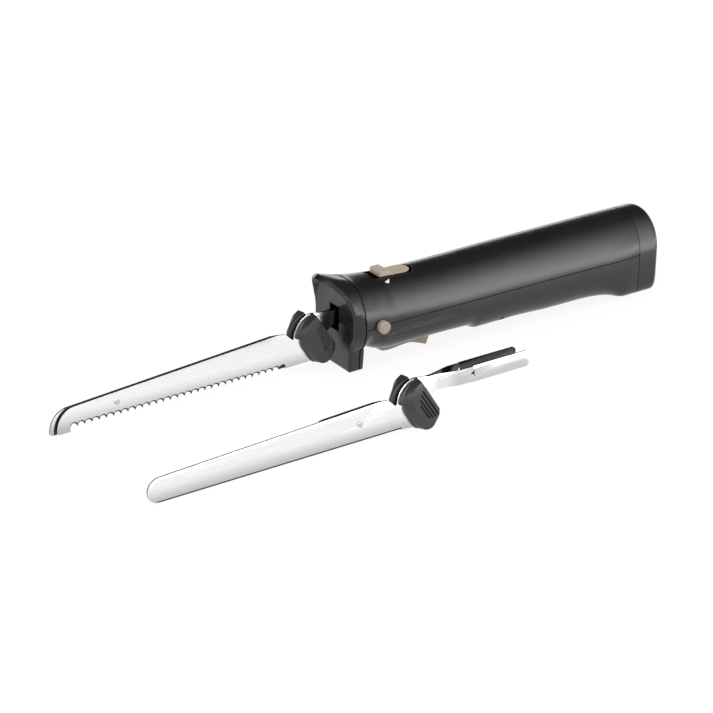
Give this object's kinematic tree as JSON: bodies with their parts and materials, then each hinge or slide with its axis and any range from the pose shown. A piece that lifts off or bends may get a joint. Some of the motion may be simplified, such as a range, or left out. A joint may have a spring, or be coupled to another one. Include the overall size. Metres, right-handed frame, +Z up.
{
  "type": "electric carving knife",
  "caption": "Cordless electric carving knife with hooded guard, safety slider, trigger and side release buttons, reciprocating serrated blades and spare smooth blades beside it.",
  "frame": {"origin": "on the table under the plane of the guard panel that holds the blade slot, on the centre plane of the handle; the resting face of the guard foot begins 1 mm behind it", "axes": "+X from the blade tips towards the rear of the handle, +Z up from the table, -Y the side on which the spare pair stands"},
  "size_m": [0.4802, 0.1445, 0.0688],
  "materials": {
    "housing": "satin moulded",
    "grip_plastic": "matte moulded",
    "control_plastic": "satin moulded",
    "blade_steel": "polished",
    "fastener_steel": "zinc plated",
    "spring_steel": "drawn",
    "shaft_steel": "ground",
    "frame_plastic": "glass-filled",
    "carrier_plastic": "acetal",
    "gear_plastic": "acetal",
    "bush_bronze": "sintered",
    "motor_steel": "plated",
    "motor_plastic": "moulded",
    "rotor_metal": "laminated and wound",
    "switch_plastic": "moulded",
    "plunger_plastic": "moulded",
    "cell_wrap": "shrink wrap",
    "holder_plastic": "moulded",
    "nickel_strip": "nickel",
    "board": "solder mask",
    "socket_plastic": "moulded",
    "wire_insulation": "insulated wire"
  },
  "bodies": {
    "handle": {"front_guard": "housing", "top_shell": "housing", "bottom_shell": "housing", "rear_cap": "housing", "shell_screws": "fastener_steel", "cap_screws": "fastener_steel", "slider_detent": "spring_steel", "trigger_pin": "shaft_steel", "trigger_spring": "spring_steel", "button_spring_left": "spring_steel", "button_spring_right": "spring_steel", "drive_frame": "frame_plastic", "frame_cover": "frame_plastic", "frame_screws": "fastener_steel", "cover_screws": "fastener_steel", "axle_bushes": "bush_bronze", "worm_bush": "bush_bronze", "motor_can": "motor_steel", "motor_end_cap": "motor_plastic", "motor_screws": "fastener_steel", "micro_switch": "switch_plastic", "battery_cells": "cell_wrap", "battery_holder": "holder_plastic", "battery_tabs": "nickel_strip", "control_board": "board", "charging_socket": "socket_plastic", "wiring": "wire_insulation"},
    "slider": {"safety_slider": "control_plastic", "slider_lock_bar": "carrier_plastic"},
    "trigger_lever": {"trigger": "control_plastic"},
    "plunger": {"switch_plunger": "plunger_plastic"},
    "button_left": {"release_button_left": "control_plastic"},
    "button_right": {"release_button_right": "control_plastic"},
    "rotor": {"motor_rotor": "rotor_metal", "worm": "shaft_steel"},
    "drive_wheel": {"worm_wheel": "gear_plastic", "eccentric_left": "shaft_steel", "eccentric_right": "shaft_steel", "wheel_axle": "shaft_steel"},
    "drive_left": {"carrier_left": "carrier_plastic"},
    "drive_right": {"carrier_right": "carrier_plastic"},
    "blade_left": {"serrated_blade_left": "blade_steel", "blade_grip_left": "grip_plastic", "blade_rivet": "fastener_steel"},
    "blade_right": {"serrated_blade_right": "blade_steel", "blade_grip_right": "grip_plastic"},
    "spare_long": {"spare_blade_long": "blade_steel", "spare_grip_long": "grip_plastic", "spare_rivet": "fastener_steel"},
    "spare_short": {"spare_blade_short": "blade_steel", "spare_grip_short": "grip_plastic"}
  },
  "joints": [
    {"name": "motor_turn", "type": "hinge", "parent": "handle", "child": "rotor", "pos_m": [0.1, 0, 0.02305], "axis": [1, 0, 0], "range_deg": [0, 1260]},
    {"name": "wheel_turn", "type": "hinge", "parent": "handle", "child": "drive_wheel", "pos_m": [0.092, 0, 0.036], "axis": [0, 1, 0], "range_deg": [0, 180]},
    {"name": "left_stroke", "type": "slide", "parent": "handle", "child": "drive_left", "axis": [-1, 0, 0], "range_m": [0, 0.0044]},
    {"name": "right_stroke", "type": "slide", "parent": "handle", "child": "drive_right", "axis": [1, 0, 0], "range_m": [0, 0.0044]},
    {"name": "left_blade_pull", "type": "slide", "parent": "drive_left", "child": "blade_left", "axis": [-1, 0, 0], "range_m": [0, 0.08]},
    {"name": "right_blade_pull", "type": "slide", "parent": "drive_right", "child": "blade_right", "axis": [-1, 0, 0], "range_m": [0, 0.08]},
    {"name": "trigger_squeeze", "type": "hinge", "parent": "handle", "child": "trigger_lever", "pos_m": [0.031, 0, 0.012], "axis": [0, -1, 0], "range_deg": [0, 7], "stiffness_Nm_per_rad": 0.4, "springref_deg": -8.59, "deforming": ["trigger_spring"]},
    {"name": "plunger_press", "type": "slide", "parent": "handle", "child": "plunger", "axis": [0, 0, 1], "range_m": [0, 0.0014]},
    {"name": "slider_push", "type": "slide", "parent": "handle", "child": "slider", "axis": [-1, 0, 0], "range_m": [0, 0.0042]},
    {"name": "left_button_press", "type": "slide", "parent": "handle", "child": "button_left", "axis": [0, 1, 0], "range_m": [0, 0.0022], "stiffness_N_per_m": 1000, "springref_m": -0.002},
    {"name": "right_button_press", "type": "slide", "parent": "handle", "child": "button_right", "axis": [0, -1, 0], "range_m": [0, 0.0022], "stiffness_N_per_m": 1000, "springref_m": -0.002},
    {"name": "spare_lift", "type": "slide", "parent": "handle", "child": "spare_long", "axis": [0, 0, 1], "range_m": [0, 0.06]},
    {"name": "spare_blade_slide", "type": "slide", "parent": "spare_long", "child": "spare_short", "axis": [1, 0, 0], "range_m": [0, 0.0088]}
  ],
  "couplings": [
    {"joint": "wheel_turn", "follows": "motor_turn", "ratio": 0.14286},
    {"joint": "left_stroke", "follows": "motor_turn", "m_per_rad": 0.0002},
    {"joint": "right_stroke", "follows": "motor_turn", "m_per_rad": 0.0002},
    {"joint": "right_blade_pull", "follows": "left_blade_pull", "ratio": 1},
    {"joint": "plunger_press", "follows": "trigger_squeeze", "m_per_rad": 0.0108}
  ]
}
